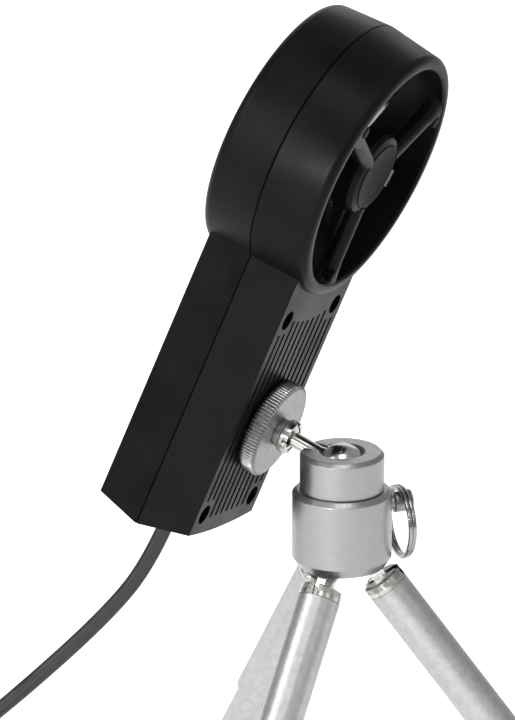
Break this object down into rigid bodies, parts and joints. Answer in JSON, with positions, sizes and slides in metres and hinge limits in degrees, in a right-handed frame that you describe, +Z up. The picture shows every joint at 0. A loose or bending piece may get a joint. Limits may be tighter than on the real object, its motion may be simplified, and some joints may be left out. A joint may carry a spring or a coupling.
{
  "type": "vane anemometer sensor head on mini tripod",
  "caption": "Wired vane anemometer head with ducted impeller and slim black handle, held by a ball stud on a pocket tripod with telescopic legs and a key ring.",
  "frame": {"origin": "centre of the object's footprint on the surface it stands on, without its cable", "axes": "+Z up; +X to the right of a viewer who sees the duct's opening at the right and the cable leaving at the left; +Y away from that viewer"},
  "size_m": [0.2305, 0.1625, 0.233],
  "materials": {
    "black_abs": "fine textured",
    "hub_abs": "fine textured",
    "satin_aluminium": "satin anodised",
    "polished_aluminium": "polished",
    "chrome": "polished",
    "steel": "ground",
    "brass": "machined",
    "grey_plastic": "moulded",
    "nylon": "moulded",
    "black_rubber": "matt",
    "cable_jacket": "smooth",
    "board_green": "solder mask",
    "chip_black": "moulded",
    "magnet": "sintered"
  },
  "bodies": {
    "clamp": {"clamp_cap": "satin_aluminium", "cable_lead": "cable_jacket", "cable_coil": "cable_jacket", "cable_tail": "cable_jacket", "coil_tie": "black_rubber", "jack_relief": "black_rubber", "jack_grip": "chip_black", "jack_contact": "chrome"},
    "sensor_head": {"front_shell": "black_abs", "rear_shell": "black_abs", "front_hub_cap": "hub_abs", "rear_hub_cap": "hub_abs", "front_bearing": "brass", "rear_bearing": "brass", "pickup_sensor": "grey_plastic", "housing_screws": "steel", "main_board": "board_green", "signal_chip": "chip_black", "board_capacitors": "polished_aluminium", "lead_connector": "nylon", "stud_insert": "brass", "cable_gland": "black_rubber"},
    "rotor": {"impeller": "polished_aluminium", "impeller_shaft": "steel", "rotor_magnet": "magnet"},
    "stud": {"ball_stud": "chrome", "stud_nut": "chrome"},
    "lock_wheel": {"thumbwheel": "satin_aluminium"},
    "tripod_head": {"tripod_collar": "satin_aluminium", "leg_hub": "satin_aluminium", "ball_seat": "nylon", "keyring_post": "satin_aluminium", "leg_pin_1": "steel", "leg_pin_2": "steel", "leg_pin_3": "steel"},
    "key_ring": {"keyring": "chrome"},
    "leg_1": {"leg_tongue_1": "steel", "leg_plug_1": "chrome", "leg_tube_1": "satin_aluminium"},
    "leg_1_middle": {"leg_middle_1": "satin_aluminium"},
    "leg_1_tip": {"leg_tip_1": "satin_aluminium", "leg_foot_1": "black_rubber"},
    "leg_2": {"leg_tongue_2": "steel", "leg_plug_2": "chrome", "leg_tube_2": "satin_aluminium"},
    "leg_2_middle": {"leg_middle_2": "satin_aluminium"},
    "leg_2_tip": {"leg_tip_2": "satin_aluminium", "leg_foot_2": "black_rubber"},
    "leg_3": {"leg_tongue_3": "steel", "leg_plug_3": "chrome", "leg_tube_3": "satin_aluminium"},
    "leg_3_middle": {"leg_middle_3": "satin_aluminium"},
    "leg_3_tip": {"leg_tip_3": "satin_aluminium", "leg_foot_3": "black_rubber"}
  },
  "joints": [
    {"name": "head_tilt", "type": "hinge", "parent": "clamp", "child": "sensor_head", "pos_m": [-0.0117, 0, 0.12437], "axis": [0.4617, 0.887, 0], "range_deg": [-18, 70], "deforming": ["cable_lead"]},
    {"name": "tripod_pan", "type": "hinge", "parent": "clamp", "child": "tripod_head", "pos_m": [-0.0117, 0, 0.12437], "axis": [0, 0, 1], "continuous": true},
    {"name": "impeller_spin", "type": "hinge", "parent": "sensor_head", "child": "rotor", "pos_m": [-0.01544, 0.01501, 0.19863], "axis": [0.8346, -0.4345, -0.3387], "continuous": true},
    {"name": "stud_turn", "type": "hinge", "parent": "sensor_head", "child": "stud", "pos_m": [-0.0117, 0, 0.12437], "axis": [0.8346, -0.4345, -0.3387], "continuous": true},
    {"name": "thumbwheel_turn", "type": "hinge", "parent": "stud", "child": "lock_wheel", "pos_m": [-0.0117, 0, 0.12437], "axis": [0.8346, -0.4345, -0.3387], "continuous": true},
    {"name": "keyring_swing", "type": "hinge", "parent": "tripod_head", "child": "key_ring", "pos_m": [0.0023, 0.0051, 0.11362], "axis": [0.9397, 0.342, 0], "range_deg": [-60, 60]},
    {"name": "leg_1_fold", "type": "hinge", "parent": "tripod_head", "child": "leg_1", "pos_m": [-0.00562, 0, 0.10082], "axis": [0, 1, 0], "range_deg": [0, 36]},
    {"name": "leg_1_middle_slide", "type": "slide", "parent": "leg_1", "child": "leg_1_middle", "axis": [-0.5878, 0, 0.809], "range_m": [0, 0.0315]},
    {"name": "leg_1_tip_slide", "type": "slide", "parent": "leg_1_middle", "child": "leg_1_tip", "axis": [-0.5878, 0, 0.809], "range_m": [0, 0.0225]},
    {"name": "leg_2_fold", "type": "hinge", "parent": "tripod_head", "child": "leg_2", "pos_m": [-0.01474, 0.00526, 0.10082], "axis": [-0.866, -0.5, 0], "range_deg": [0, 36]},
    {"name": "leg_2_middle_slide", "type": "slide", "parent": "leg_2", "child": "leg_2_middle", "axis": [0.2939, -0.509, 0.809], "range_m": [0, 0.0315]},
    {"name": "leg_2_tip_slide", "type": "slide", "parent": "leg_2_middle", "child": "leg_2_tip", "axis": [0.2939, -0.509, 0.809], "range_m": [0, 0.0225]},
    {"name": "leg_3_fold", "type": "hinge", "parent": "tripod_head", "child": "leg_3", "pos_m": [-0.01474, -0.00526, 0.10082], "axis": [0.866, -0.5, 0], "range_deg": [0, 36]},
    {"name": "leg_3_middle_slide", "type": "slide", "parent": "leg_3", "child": "leg_3_middle", "axis": [0.2939, 0.509, 0.809], "range_m": [0, 0.0315]},
    {"name": "leg_3_tip_slide", "type": "slide", "parent": "leg_3_middle", "child": "leg_3_tip", "axis": [0.2939, 0.509, 0.809], "range_m": [0, 0.0225]}
  ]
}
